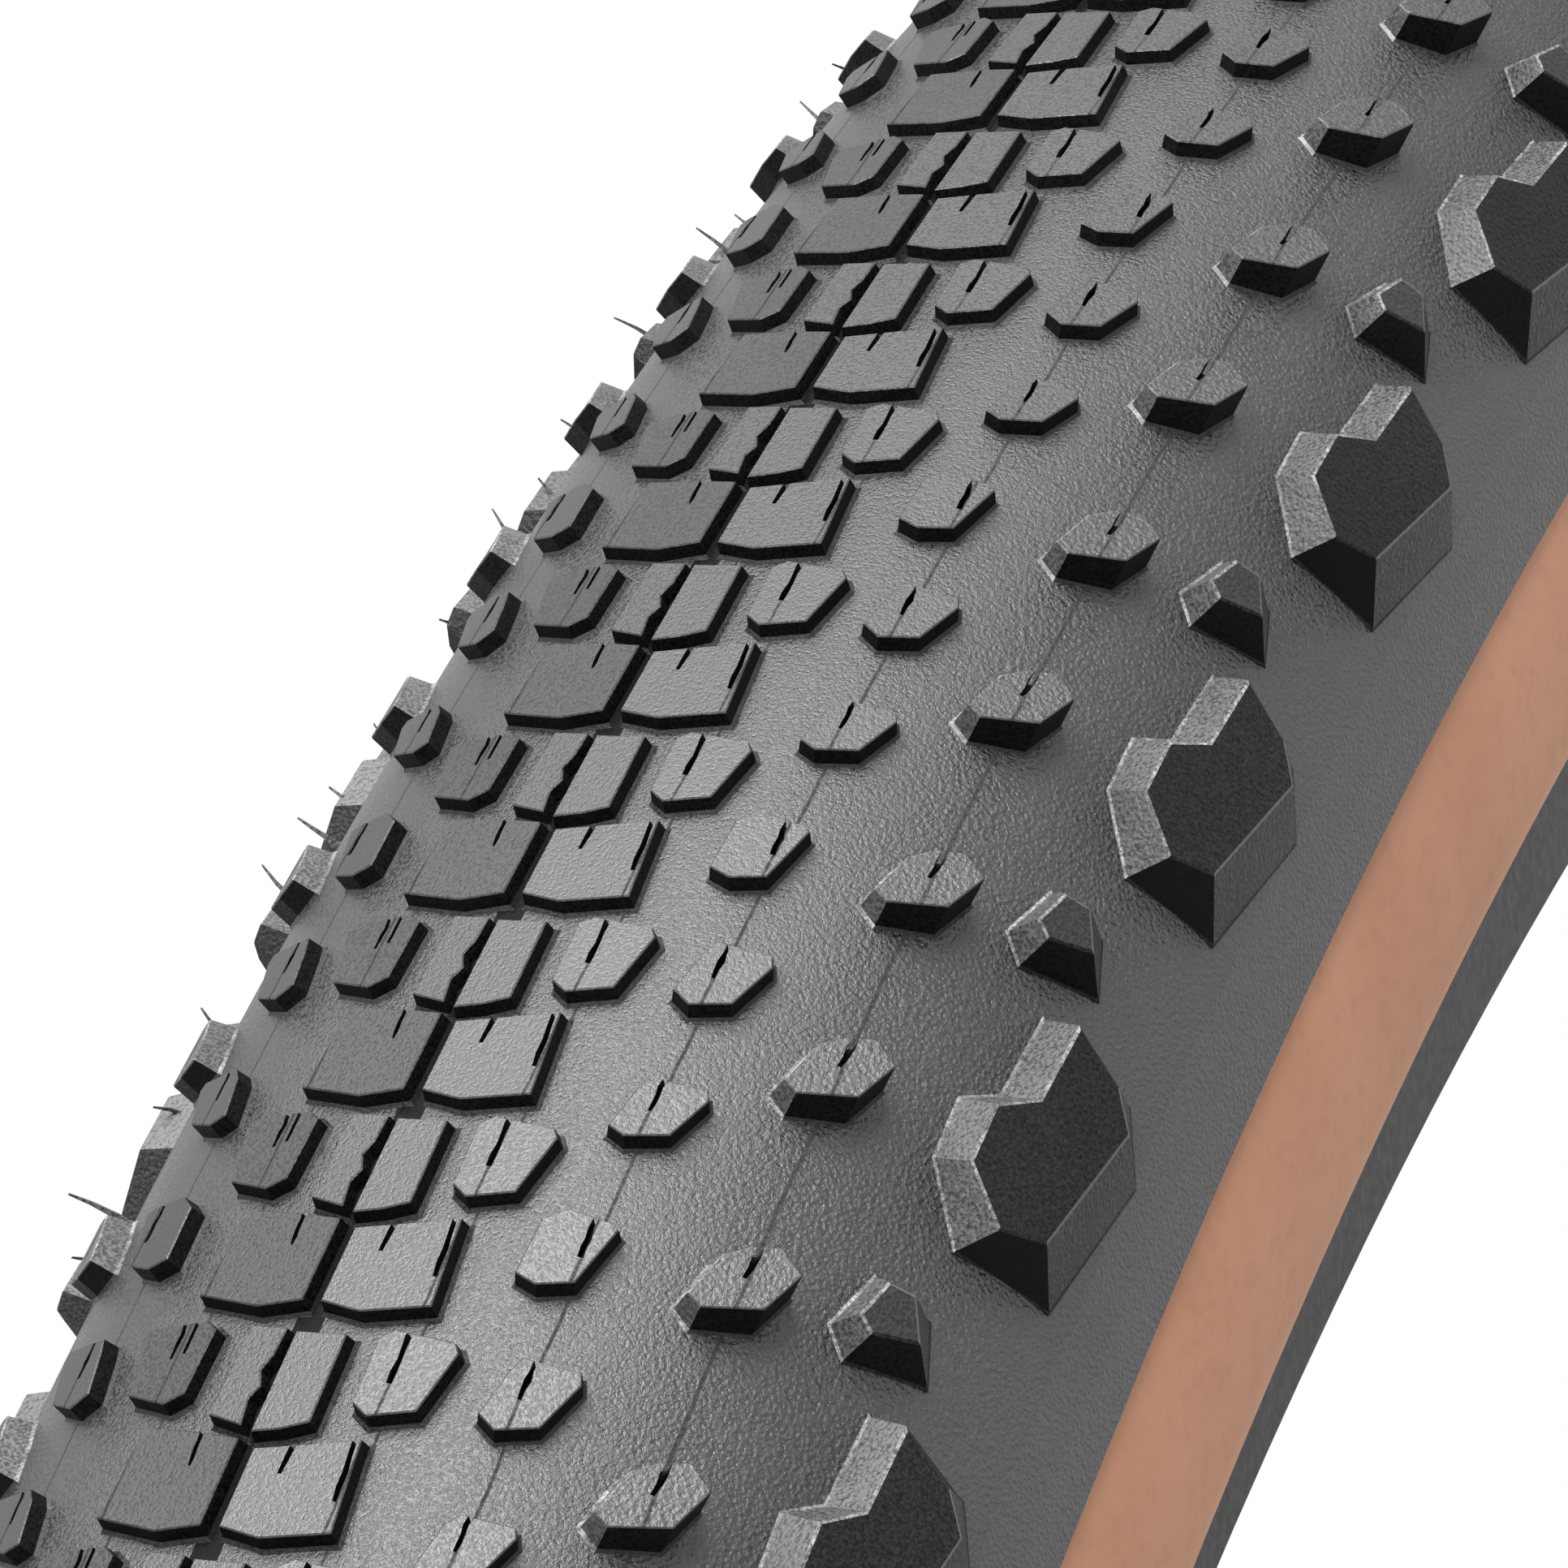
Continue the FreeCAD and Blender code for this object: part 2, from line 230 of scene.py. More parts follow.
LEATHER_SCALE = 4000.0
LEATHER_SHARE = 0.9
LEATHER_FROM, LEATHER_TO = 6.0, 22.0        # it sets in between these, across from the crown
EDGE_HIGHLIGHT_FROM, EDGE_HIGHLIGHT_TO = 22.5, 24.9             # painted highlight: the tone grows lighter from one to the other, across from the crown


def tread_rubber(
        name, grain, rough, shine, seams=(), dark=0.018, light=0.026, edge=1.0, patch=45.0):
    """Black tread rubber with its moulded grain, dust and mould lines."""
    sheet = Sheet(name)
    place = sheet.place()
    _, side, _ = sheet.parts(place)
    side = side * (1.0 / MM) + (sheet.noise(place, 300.0, 1.0) - 0.5) * SEAM_WANDER
    line = None
    for seam, height in seams:
        near = sheet.ramp(abs(side - at_side(seam, height)[0]), *SEAM_REACH, 1.0, 0.0)
        line = near if line is None else line.maths("MAXIMUM", near)
    outward = sheet.ramp(abs(side), LEATHER_FROM, LEATHER_TO)
    fine = sheet.noise(place, GRAIN_SCALE, 2.0, 0.7)
    leather = sheet.node(
        "ShaderNodeTexVoronoi", {"feature": "F1"}, Vector=place, Scale=LEATHER_SCALE,
        Randomness=1.0,
    )
    broad = sheet.noise(place, patch, 3.0, 0.55)
    tone = sheet.mix(
        sheet.ramp(broad, 0.35, 0.7), colour(dark, dark, dark * 1.02), colour(light, light, light)
    )
    # painted highlight: the tone is multiplied up towards the tread's edge
    edge_highlight = sheet.ramp(abs(side), EDGE_HIGHLIGHT_FROM, EDGE_HIGHLIGHT_TO) * (edge - 1.0) + 1.0
    speck = sheet.ramp(fine, *GRAIN_RANGE, *GRAIN_TONES) * edge_highlight
    tone = sheet.node("ShaderNodeVectorMath", {"operation": "SCALE"}, Vector=tone, Scale=speck)
    relief = sheet.bump(
        fine * grain + leather * outward * (LEATHER_SHARE * grain), GRAIN_DEPTH)
    roughness = sheet.ramp(fine, *GRAIN_RANGE, rough - GRAIN_ROUGHNESS, rough + GRAIN_ROUGHNESS)
    if line is not None:
        tone = sheet.mix(line * SEAM_SHARE, tone, colour(SEAM_BLACK, SEAM_BLACK, SEAM_BLACK))
        roughness = roughness + line * SEAM_ROUGHNESS
    return sheet.finish(
        Base_Color=tone, Roughness=roughness, Normal=relief, Specular_IOR_Level=shine,
    )


def casing_skin():
    """Tan rubber skin over the casing's threads."""
    sheet = Sheet("tan_casing")
    place = sheet.place()
    blotch = sheet.noise(place, 60.0, 4.0, 0.6)
    fine = sheet.noise(place, 900.0, 3.0, 0.6)
    tone = sheet.mix(
        sheet.ramp(blotch, 0.3, 0.7), colour(0.555, 0.262, 0.150), colour(0.630, 0.312, 0.186)
    )
    tone = sheet.mix(sheet.ramp(fine, 0.45, 0.8) * 0.35, tone, colour(0.42, 0.20, 0.11))
    relief = sheet.bump(fine, 0.0001, 0.5)
    return sheet.finish(Base_Color=tone, Roughness=0.62, Normal=relief)


def lining():
    """The casing's inside: rubbered cloth, woven on the bias."""
    sheet = Sheet("casing_lining")
    along, round_, _ = sheet.parts(sheet.node("ShaderNodeUVMap", {"uv_map": "wrap"}))
    threads = 900.0
    one = ((along + round_) * threads).maths("SINE")
    two = ((along - round_) * threads).maths("SINE")
    weave = one.maths("MAXIMUM", two)
    tone = sheet.mix(
        sheet.ramp(weave, -0.2, 1.0), colour(0.030, 0.026, 0.022), colour(0.085, 0.070, 0.055)
    )
    return sheet.finish(
        Base_Color=tone, Roughness=0.7, Normal=sheet.bump(weave, 0.0002, 0.6)
    )


def bead_rubber():
    """The hard rubber of the strip round each bead."""
    sheet = Sheet("strip_rubber")
    fine = sheet.noise(sheet.place(), 1500.0, 3.0, 0.6)
    return sheet.finish(
        Base_Color=sheet.mix(fine, colour(0.012, 0.012, 0.012), colour(0.026, 0.025, 0.024)),
        Roughness=sheet.ramp(fine, 0.2, 0.8, 0.4, 0.55),
        Normal=sheet.bump(fine, 0.00008, 0.6),
    )


def bead_fibre():
    """The folding bead's bundle of yellow fibre."""
    sheet = Sheet("bead_fibre")
    strands = sheet.noise(sheet.place(), 1200.0, 2.0)
    return sheet.finish(
        Base_Color=sheet.mix(strands, colour(0.45, 0.33, 0.10), colour(0.62, 0.50, 0.20)),
        Roughness=0.6, Normal=sheet.bump(strands, 0.0001, 0.6),
    )


BASE_RUBBER = tread_rubber("tread_base_rubber", 1.25, 0.44, 1.0, BASE_LINES, edge=1.7)
KNOB_RUBBER = tread_rubber("knob_top_rubber", 0.75, 0.42, 1.0, KNOB_LINES)
# painted shade: a darker, almost unshiny copy of the tread rubber for the shoulder knobs' tops
SHOULDER_SHADE_RUBBER = tread_rubber("shoulder_top_shade_rubber", 0.8, 0.5, 0.12, (), 0.014, 0.020)
# painted light: a lighter copy of the tread rubber for the knob walls that face the lamp
FLANK_LIT_RUBBER = tread_rubber("shoulder_flank_lit_rubber", 0.5, 0.5, 1.0, (), 0.05, 0.07)
# painted shade: a less shiny copy of the tread rubber for feet and walls that face away from the
# lamp
SLOPE_SHADE_RUBBER = tread_rubber("shoulder_slope_shade_rubber", 1.0, 0.5, 0.38)
# painted shade: a near-black, dull copy of the tread rubber for knob walls, slits and the middle
# groove
WALL_SHADE_RUBBER = tread_rubber("knob_wall_shade_rubber", 0.3, 0.6, 0.1, (), 0.005, 0.008)
# painted shade: a less shiny copy of the knob rubber for the left rows' tops
LEFT_KNOB_SHADE_RUBBER = tread_rubber("left_knob_shade_rubber", 0.6, 0.45, 0.72, KNOB_LINES)
# painted highlight: a pale copy of the tread rubber for the knob edges that catch the lamp
RIDGE_HIGHLIGHT_RUBBER = tread_rubber("painted_highlight_ridge_rubber", 0.6, 0.45, 0.8, (), 0.09, 0.28, patch=700.0)
HAIR_RUBBER = tread_rubber("vent_hair_rubber", 0.2, 0.5, 0.3, (), 0.07, 0.12)
# painted light: a lighter copy of the tread rubber for the left shoulder walls that face the lamp
LEFT_FLANK_LIT_RUBBER = tread_rubber("left_flank_lit_rubber", 0.5, 0.5, 0.8, (), 0.07, 0.11)
TAN = casing_skin()
LINING = lining()
STRIP_RUBBER = bead_rubber()
FIBRE = bead_fibre()


# ---------------------------------------------------------------- meshes
def new_object(name, mesh, materials, sharp=35.0):
    made = bpy.data.objects.new(name, mesh)
    bpy.context.scene.collection.objects.link(made)
    for material in materials:
        mesh.materials.append(material)
    mesh.polygons.foreach_set("use_smooth", [True] * len(mesh.polygons))
    mesh.set_sharp_from_angle(angle=math.radians(sharp))
    return made


def ring(name, section, materials, chosen=None, steps=RING_STEPS, sharp=35.0):
    """A closed section of (across, radius) points, turned round the axle."""
    work = bmesh.new()
    wrap = work.loops.layers.uv.new("wrap")
    loops = []
    for step in range(steps):
        angle = 2 * math.pi * step / steps
        loops.append([
            work.verts.new(Vector((r * math.sin(angle), y, r * math.cos(angle))) * MM)
            for y, r in section
        ])
    count = len(section)
    lengths = [0.0]
    for k in range(count):
        y0, r0 = section[k]
        y1, r1 = section[(k + 1) % count]
        lengths.append(lengths[-1] + math.hypot(y1 - y0, r1 - r0))
    girth = 2 * math.pi * TREAD_RADIUS
    for step in range(steps):
        here, there = loops[step], loops[(step + 1) % steps]
        for k in range(count):
            n = (k + 1) % count
            face = work.faces.new((here[k], here[n], there[n], there[k]))
            if chosen:
                face.material_index = chosen(k)
            places = ((step, k), (step, k + 1), (step + 1, k + 1), (step + 1, k))
            for corner, (u, v) in zip(face.loops, places):
                corner[wrap].uv = (girth * u / steps * MM, lengths[v] * MM)
    bmesh.ops.recalc_face_normals(work, faces=work.faces)
    mesh = bpy.data.meshes.new(name)
    work.to_mesh(mesh)
    work.free()
    return new_object(name, mesh, materials, sharp)


def arc(depth, start, end, steps):
    """Points of the section, (across, radius), from one angle to another, that deep below it."""
    return [at_angle(start + (end - start) * step / steps, depth) for step in range(steps + 1)]


def edges_of(outline):
    """Each edge of a closed outline: its two ends."""
    return zip(outline, outline[1:] + outline[:1])


def way_round(outline):
    """1 for an outline that runs one way round, -1 for the other."""
    return math.copysign(1.0, sum(a[0] * b[1] - b[0] * a[1] for a, b in edges_of(outline)))


SHARPEST = 0.45             # a corner sharper than this isn't drawn out any further


def grown(outline, amount):
    """An outline of (across, along) points moved outwards by an amount, its corners kept sharp."""
    turn = way_round(outline)
    moved = []
    count = len(outline)
    for k in range(count):
        before, here, after = (Vector(outline[(k + d) % count]) for d in (-1, 0, 1))
        first = (here - before).normalized()
        second = (after - here).normalized()
        n1 = Vector((first.y, -first.x)) * turn
        n2 = Vector((second.y, -second.x)) * turn
        middle = (n1 + n2).normalized()
        moved.append(here + middle * (amount / max(middle.dot(n1), SHARPEST)))
    return [tuple(p) for p in moved]


BEVEL = 0.06                # all round a knob's top
RIDGE_WIDTH = 0.14          # of the bands round a shoulder knob's top and foot, which carry the painted highlight
ROOT = 0.25                 # how far the knobs reach into the tread base
ROOT_SPREAD = 0.35
FOOT_SLOPE = 0.9
SHADE = (0.5, 1.0)          # across and along: the knobs' feet on this side carry painted shade
# kinds of face: tops, walls with painted shade, flanks with painted light, slopes with painted
# shade, ridges with painted highlight
TOP, SHADED_WALL, LIT_FLANK, SHADED_SLOPE, HIGHLIGHT_RIDGE = KINDS = range(5)
SLIT_FLOOR = 0.3            # the share of a knob's height that a slit leaves uncut
SLIT_TEETH = 5              # of a torn slit


def add_loops(work, loops, kind, cap=TOP):
    """Faces between loops of (across, pitches, height), foot first, and the two end faces."""
    mark = work.faces.layers.int["kind"]
    rows = [[work.verts.new(on_tread(*point)) for point in loop] for loop in loops]
    for level, (low, high) in enumerate(zip(rows, rows[1:])):
        for k in range(len(low)):
            n = (k + 1) % len(low)
            face = work.faces.new((low[k], low[n], high[n], high[k]))
            face[mark] = kind(level, k)
    work.faces.new(rows[-1])[mark] = cap
    work.faces.new(rows[0][::-1])


def slit_cutter(points, height):
    """A thin upright blade, whose outline is a closed row of (across, pitches)."""
    work = bmesh.new()
    work.faces.layers.int.new("kind")
    loops = [[(s, t, h) for s, t in points] for h in (SLIT_FLOOR * height, height + 0.5)]
    # the blade gives the cut slit walls painted shade
    add_loops(work, loops, lambda level, edge: SHADED_WALL)
    mark = work.faces.layers.int["kind"]
    for face in work.faces:
        face[mark] = SHADED_WALL
    return as_mesh(work, "slit")


def as_mesh(work, name):
    bmesh.ops.recalc_face_normals(work, faces=work.faces)
    mesh = bpy.data.meshes.new(name)
    work.to_mesh(mesh)
    work.free()
    return mesh


def slit_outline(start, end, width, ragged=0.0):
    """A slit from the edge of a knob inwards; a ragged one is torn to and fro."""
    chance = random.Random(round(1000 * (start[0] + 3 * start[1])))     # its own for each slit
    steps = SLIT_TEETH if ragged else 1
    sides = ([], [])
    for step in range(steps + 1):
        share = step / steps
        s = start[0] + (end[0] - start[0]) * share
        t = start[1] + (end[1] - start[1]) * share
        half = width * (0.5 if step < steps else 0.25)
        for row, turn in zip(sides, (-1, 1)):
            row.append((s + turn * (half + ragged * chance.random()), t))
    return sides[0] + sides[1][::-1]


def add_knob(
        work, outline, height, draft=0.10, foot=0.12, slits=(), along=0.0, left=False, kind=None,
        tilt=0.0):
    """One knob: a fillet at its foot, drafted walls, a crisp top and the slits cut into it."""
    place = to_left if left else float
    points = [(place(s), (t + along) * PITCH) for s, t in outline]
    levels = (
        (-ROOT, draft + FOOT_SLOPE * foot + ROOT_SPREAD), (foot, draft), (height - BEVEL, 0.0),
        (height, -BEVEL),
    )
    middle = 0.5 * (min(abs(s) for s, _ in points) + max(abs(s) for s, _ in points))
    loops = [
        [(s, c / PITCH, h + (h > foot) * tilt * (abs(s) - middle)) for s, c in grown(points, out)]
        for h, out in levels
    ]
    knob = bmesh.new()
    knob.faces.layers.int.new("kind")
    turn = way_round(points)
    shaded = [
        turn * ((b[1] - a[1]) * SHADE[0] - (b[0] - a[0]) * SHADE[1]) > 0
        for a, b in edges_of(points)
    ]

    def finish(level, edge):
        found = kind(level, edge) if kind else (TOP, SHADED_WALL, TOP)[level]
        # a foot on the shaded side carries painted shade
        return SHADED_SLOPE if level == 0 and found == TOP and shaded[edge] else found

    add_loops(knob, loops, finish)
    mesh = as_mesh(knob, "knob")
    if slits:
        mesh = with_slits(mesh, [
            slit_cutter([(place(s), t + along) for s, t in slit_outline(*slit)], height)
            for slit in slits
        ])
    work.from_mesh(mesh)


def with_slits(mesh, cutters):
    """The mesh with its slits cut."""
    body = bpy.data.objects.new("body", mesh)
    made = [body]
    for cutter in cutters:
        blade = bpy.data.objects.new("blade", cutter)
        made.append(blade)
        modifier = body.modifiers.new("slit", "BOOLEAN")
        modifier.operation = "DIFFERENCE"
        modifier.solver = "EXACT"
        modifier.object = blade
    for item in made:
        bpy.context.scene.collection.objects.link(item)
    bpy.context.view_layer.update()
    graph = bpy.context.evaluated_depsgraph_get()
    cut = bpy.data.meshes.new_from_object(body.evaluated_get(graph))
    for item in made:
        bpy.data.objects.remove(item)
    return cut


def knob_unit(name, add, left=False):
    """The mesh of one repeat of the pattern; add puts the knobs into it."""
    work = bmesh.new()
    work.faces.layers.int.new("kind")
    add(work, left)
    return as_mesh(work, name)


COMPARED = 3                # the second of a Compare node's two whole numbers


def repeat_tree():
    """Geometry Nodes that repeat a piece round the axle and paint each kind of face."""
    tree = bpy.data.node_groups.new("repeat_round_axle", "GeometryNodeTree")
    face = tree.interface
    face.new_socket("Geometry", in_out="INPUT", socket_type="NodeSocketGeometry")
    for name, kind in (
        ("Count", "NodeSocketInt"), ("Step", "NodeSocketFloat"), ("Start", "NodeSocketFloat"),
        ("Top", "NodeSocketMaterial"), ("Wall_shade", "NodeSocketMaterial"),
        ("Flank_lit", "NodeSocketMaterial"), ("Slope", "NodeSocketMaterial"),
        ("Ridge_highlight", "NodeSocketMaterial"),
    ):
        face.new_socket(name, in_out="INPUT", socket_type=kind)
    face.new_socket("Geometry", in_out="OUTPUT", socket_type="NodeSocketGeometry")
    nodes, links = tree.nodes, tree.links
    given = nodes.new("NodeGroupInput")
    points = nodes.new("GeometryNodePoints")
    index = nodes.new("GeometryNodeInputIndex")
    turned = nodes.new("ShaderNodeMath")
    turned.operation = "MULTIPLY_ADD"
    angles = nodes.new("ShaderNodeCombineXYZ")
    instances = nodes.new("GeometryNodeInstanceOnPoints")
    real = nodes.new("GeometryNodeRealizeInstances")
    kind = nodes.new("GeometryNodeInputNamedAttribute")
    kind.data_type = "INT"
    kind.inputs["Name"].default_value = "kind"
    result = nodes.new("NodeGroupOutput")
    links.new(given.outputs["Count"], points.inputs["Count"])
    links.new(index.outputs[0], turned.inputs[0])
    links.new(given.outputs["Step"], turned.inputs[1])
    links.new(given.outputs["Start"], turned.inputs[2])
    links.new(turned.outputs[0], angles.inputs["Y"])
    links.new(points.outputs[0], instances.inputs["Points"])
    links.new(given.outputs["Geometry"], instances.inputs["Instance"])
    links.new(angles.outputs[0], instances.inputs["Rotation"])
    links.new(instances.outputs[0], real.inputs[0])
    shape = real.outputs[0]
    for value, name in zip(KINDS, ("Top", "Wall_shade", "Flank_lit", "Slope", "Ridge_highlight")):
        painted = nodes.new("GeometryNodeSetMaterial")
        chosen = nodes.new("FunctionNodeCompare")
        chosen.data_type = "INT"
        chosen.operation = "EQUAL"
        chosen.inputs[COMPARED].default_value = value
        links.new(kind.outputs["Attribute"], chosen.inputs[COMPARED - 1])
        links.new(shape, painted.inputs["Geometry"])
        links.new(chosen.outputs[0], painted.inputs["Selection"])
        links.new(given.outputs[name], painted.inputs["Material"])
        shape = painted.outputs[0]
    links.new(shape, result.inputs[0])
    return tree


REPEAT = repeat_tree()


def repeat(name, mesh, count=UNITS, top=None, flank=None, sharp=20.0):
    """The mesh repeated round the axle, as one plain mesh."""
    seed = bpy.data.objects.new(name + "_seed", mesh)
    bpy.context.scene.collection.objects.link(seed)
    modifier = seed.modifiers.new("repeat", "NODES")
    modifier.node_group = REPEAT
    settings = {
        "Count": count, "Step": 2 * math.pi / count, "Start": PATTERN_START,
        "Top": top or KNOB_RUBBER, "Wall_shade": WALL_SHADE_RUBBER, "Flank_lit": flank or FLANK_LIT_RUBBER,
        "Slope": SLOPE_SHADE_RUBBER, "Ridge_highlight": RIDGE_HIGHLIGHT_RUBBER,
    }
    for item in REPEAT.interface.items_tree:
        if item.in_out == "INPUT" and item.name in settings:
            modifier[item.identifier] = settings[item.name]
    bpy.context.view_layer.update()
    graph = bpy.context.evaluated_depsgraph_get()
    whole = bpy.data.meshes.new_from_object(seed.evaluated_get(graph))
    bpy.data.objects.remove(seed)
    whole.name = name
    return new_object(name, whole, [], sharp)


# ---------------------------------------------------------------- the tread and casing
# Angles of the section, in degrees from straight out, and depths below the bare tread.
GROOVE = (-1.55, 0.22)      # the groove between the two centre rows, its floor painted dark as shade
TAPER_ANGLE = 72.0
HALF_TAPER = (76.5, 0.3)
EDGE_ANGLE = 81.0
EDGE_DEPTH = 0.6
HALF_STEPS = 48
UNDERSIDE_STEPS = 68
tread_section = arc(0.0, -TAPER_ANGLE, GROOVE[0], HALF_STEPS)
tread_section += arc(0.0, GROOVE[1], TAPER_ANGLE, HALF_STEPS)
tread_section += [at_angle(*HALF_TAPER), at_angle(EDGE_ANGLE, EDGE_DEPTH)]
tread_section += arc(TREAD_THICKNESS, EDGE_ANGLE, -EDGE_ANGLE, UNDERSIDE_STEPS)
tread_section += [at_angle(-EDGE_ANGLE, EDGE_DEPTH), at_angle(-HALF_TAPER[0], HALF_TAPER[1])]
# the groove's floor gets the near-black wall rubber: painted shade
tread_base = ring(
    "tread_rubber", tread_section, [BASE_RUBBER, WALL_SHADE_RUBBER], lambda k: int(k == HALF_STEPS))
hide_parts("tread_base")
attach(tread_base, "root")

# ---------------------------------------------------------------- the knobs
# Each outline is (across, along): millimetres from the crown, and pitches along the tread.
CENTRES = (                 # on the right and on the left
    ((0.19, 0.71), (0.19, 1.05), (2.20, 1.085), (5.32, 1.03), (4.90, 0.63), (2.23, 0.68)),
    ((0.19, 0.67), (0.19, 1.05), (2.20, 1.085), (5.32, 1.03), (4.90, 0.63), (2.23, 0.65)),
)
SIDE = (
    (3.66, 0.19), (4.28, 0.15), (7.04, 0.17), (7.34, 0.21), (6.64, 0.48), (4.59, 0.53),
    (3.76, 0.48),
)
TRANSITIONS = (
    ((8.24, 0.58), (9.12, 0.51), (10.98, 0.52), (11.37, 0.54), (10.59, 0.81), (9.12, 0.86),
     (8.14, 0.83)),
    ((9.61, 1.24), (9.90, 1.17), (12.33, 1.16), (12.53, 1.21), (11.65, 1.43), (10.00, 1.49),
     (9.12, 1.44)),
    ((9.61, 1.91), (10.10, 1.85), (12.33, 1.84), (12.52, 1.88), (11.65, 2.08), (9.90, 2.14),
     (9.12, 2.11)),
)
OUTERS = (                  # on the right and on the left
    ((14.88, 1.70), (15.55, 1.74), (17.80, 1.655), (18.58, 1.46), (17.50, 1.38), (16.45, 1.42),
     (15.50, 1.50)),
    ((14.76, 1.63), (15.80, 1.67), (18.07, 1.58), (18.55, 1.37), (17.89, 1.29), (16.46, 1.32),
     (15.33, 1.47)),
)
SPLIT_WIDE = ((-0.30, 0.19), (2.13, 0.19), (2.23, 0.58), (1.03, 0.62), (-0.30, 0.64))
SPLIT_NARROW = (            # torn along the groove
    (-0.80, 0.18), (-2.60, 0.17), (-2.70, 0.575), (-0.92, 0.615), (-1.12, 0.50), (-0.80, 0.44),
    (-1.14, 0.37), (-0.86, 0.30),
)
LARGE_TOP = (
    (24.92, 0.76), (24.66, 1.17), (22.98, 1.32), (22.97, 1.61), (25.33, 1.79), (27.67, 1.69),
    (29.22, 1.00), (27.81, 0.86),
)
LARGE_FOOT = (
    (24.04, 0.70), (23.72, 1.14), (22.01, 1.27), (22.07, 1.58), (24.75, 1.88), (30.33, 1.80),
    (32.00, 1.02), (29.90, 0.74),
)
SMALL_TOP = ((21.91, 0.27), (21.31, 0.46), (22.09, 0.51), (24.26, 0.42), (23.25, 0.25))
SMALL_FOOT = ((21.85, 0.17), (20.75, 0.48), (22.0, 0.59), (26.24, 0.46), (25.10, 0.20))
HIGHLIGHT_EDGES = {8: (0, 1, 2, 3), 5: (0, 1)}     # of the large and the small shoulder knob: painted highlight on their bands, painted light on their walls
# on these edges the walls carry painted shade and the band round the top painted light
OUTER_EDGES = {8: (5, 6), 5: (3, 4)}
SHOULDER_ROOT = 0.2
SKIRT = (0.06, 0.12)        # a shoulder knob's foot stands up this high, and steps in above it


def add_shoulder_knob(work, top, foot, height, left):
    """A shoulder knob, whose sides slope at their own angles from the foot to the top."""
    if left:
        top = [(to_left(s), t) for s, t in top]
        foot = [(to_left(s), t) for s, t in foot]
    inset, skirt = (
        [(s, c / PITCH) for s, c in grown([(s, t * PITCH) for s, t in outline], -RIDGE_WIDTH)]
        for outline in (top, foot)
    )
    levels = (
        (foot, -SHOULDER_ROOT), (foot, SKIRT[0]), (skirt, SKIRT[1]), (top, height - BEVEL),
        (inset, height),
    )
    loops = [[(s, t, h) for s, t in outline] for outline, h in levels]
    bright = HIGHLIGHT_EDGES[len(top)]
    if left:
        bright = bright[:-1]
    outer = OUTER_EDGES[len(top)]

    def kind(level, edge):
        if level in (1, 3):             # the narrow bands round the foot and round the top: painted highlight on the bright edges, painted light on the outer top edges
            return HIGHLIGHT_RIDGE if edge in bright else LIT_FLANK if level == 3 and edge in outer else TOP
        # the walls: painted light on the bright edges, painted shade on the others
        if left and edge == len(bright):
            return SHADED_SLOPE
        return LIT_FLANK if edge in bright else SHADED_SLOPE if edge in outer else SHADED_WALL

    # the small knob's top carries painted shade
    add_loops(work, loops, kind, TOP if len(top) > 5 else SHADED_SLOPE)


# Each slit is its outer end, its inner end, its width and how far its sides are torn.
CENTRE_SLITS = (            # on the right and on the left
    (((2.05, 0.61), (1.90, 0.81), 0.40), ((4.66, 0.58), (4.84, 0.90), 0.10, 0.15)),
    (((2.0, 0.61), (1.92, 0.80), 0.16, 0.05), ((5.05, 0.66), (5.15, 0.92), 0.10, 0.12)),
)
SIDE_SLITS = (
    (((4.95, 0.12), (4.95, 0.38), 0.14, 0.13),),
    (((4.75, 0.14), (4.72, 0.30), 0.12, 0.08), ((5.30, 0.14), (5.28, 0.32), 0.12, 0.10)),
)
TRANSITION_SLITS = (
    (((10.30, 0.48), (10.40, 0.70), 0.10, 0.13),),
    (((10.50, 1.13), (10.42, 1.34), 0.10, 0.13),),
    (((10.55, 1.81), (10.42, 2.00), 0.10, 0.13),),
)
OUTER_SLITS = (((16.85, 1.31), (16.65, 1.56), 0.12, 0.13),)
OUTER_HEIGHTS = (1.9, 1.3)       # of the right and the left row
OUTER_TILTS = (0.2, 0.0)         # on the right their outer edges stand higher
CENTRE_HEIGHT = 0.85
CENTRE_FOOT = 0.15
TRANSITION_HEIGHT = 0.95
OUTER_PLACES = (0.0, -0.98)      # two for every two pitches, not quite a pitch apart
OUTER_DRAFT = 0.25
OUTER_FOOT = 0.13
LARGE_HEIGHT = 2.0
SMALL_HEIGHT = 1.8


def outer_kind(left):
    """The outer knobs carry a painted highlight along their inner side, and a wall there painted
    lighter as lit.
    """
    def kind(level, edge):
        inner = edge in (5, 6)
        if level == 1:
            return LIT_FLANK if inner or edge == 0 and not left else SHADED_WALL
        return HIGHLIGHT_RIDGE if inner or level == 0 and edge == 0 and not left else TOP

    return kind


def groove_shade_kind(*groove):
    """The knobs' feet along the middle groove carry the same painted shade as the groove's floor.
    """
    return lambda level, edge: (SHADED_WALL if edge in groove else TOP, SHADED_WALL, TOP)[level]


def centre_pitch(work, left):
    add_knob(
        work, CENTRES[left], CENTRE_HEIGHT, foot=CENTRE_FOOT, slits=CENTRE_SLITS[left], left=left,
        kind=groove_shade_kind(0))
    add_knob(
        work, SIDE, CENTRE_HEIGHT, foot=CENTRE_FOOT, slits=SIDE_SLITS[left], left=left)


def split_pitch(work, left):
    add_knob(work, SPLIT_WIDE, CENTRE_HEIGHT, foot=CENTRE_FOOT, kind=groove_shade_kind(4))
    add_knob(work, SPLIT_NARROW, CENTRE_HEIGHT, foot=CENTRE_FOOT, kind=groove_shade_kind(*range(3, 8)))


